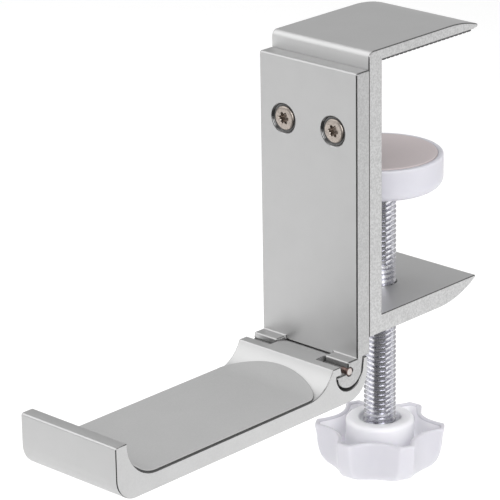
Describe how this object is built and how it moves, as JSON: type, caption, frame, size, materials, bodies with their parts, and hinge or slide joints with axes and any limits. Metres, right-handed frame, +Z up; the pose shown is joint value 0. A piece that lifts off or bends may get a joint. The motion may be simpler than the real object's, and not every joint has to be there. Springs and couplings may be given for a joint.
{
  "type": "folding headphone hook",
  "caption": "Desk clamp headphone hook: C shaped aluminium clamp with a star knob screw and a padded arm that folds up against its front plate.",
  "frame": {"origin": "on the clamp screw's axis, in the plane of the grip strip's underside, where the top of the desk lies", "axes": "+Z up along the clamp screw, +X across the width, +Y from the hook under the desk, so the arm reaches towards -Y"},
  "size_m": [0.0308, 0.1229, 0.1126],
  "materials": {
    "aluminium_frame": "bead blasted, clear anodised",
    "aluminium_plate": "bead blasted, clear anodised",
    "aluminium_arm": "bead blasted, clear anodised",
    "strip_rubber": "matt",
    "stainless_screws": "passivated, faint warm tint",
    "steel_pin": "plain",
    "arm_silicone": "smooth matt silicone",
    "zinc_plated_steel": "bright zinc plated",
    "zinc_plated_washer": "zinc plated",
    "steel_bush": "plain",
    "white_plastic_pad": "semi-gloss white",
    "white_plastic_knob": "semi-gloss white",
    "pad_silicone": "smooth matt silicone"
  },
  "bodies": {
    "frame": {"clamp_frame": "aluminium_frame", "desk_grip_strip": "strip_rubber", "hinge_plate": "aluminium_plate", "plate_screw_left": "stainless_screws", "plate_screw_right": "stainless_screws", "hinge_pin": "steel_pin"},
    "arm": {"hook_arm": "aluminium_arm", "arm_pad": "arm_silicone"},
    "press": {"pressure_pad": "white_plastic_pad", "pressure_pad_grip": "pad_silicone"},
    "screw": {"clamp_screw": "zinc_plated_steel", "pad_retaining_washer": "zinc_plated_washer", "knob_bush": "steel_bush", "star_knob": "white_plastic_knob"}
  },
  "joints": [
    {"name": "arm_fold", "type": "hinge", "parent": "frame", "child": "arm", "pos_m": [0, -0.0282, -0.07285], "axis": [-1, 0, 0], "range_deg": [0, 90]},
    {"name": "pad_lift", "type": "slide", "parent": "frame", "child": "press", "axis": [0, 0, 1], "range_m": [-0.0244, 0.0286]},
    {"name": "screw_turn", "type": "hinge", "parent": "press", "child": "screw", "pos_m": [0, 0, -0.05], "axis": [0, 0, 1], "range_deg": [-7030.8, 8244]}
  ],
  "couplings": [
    {"joint": "screw_turn", "follows": "pad_lift", "rad_per_m": 5026.5}
  ]
}
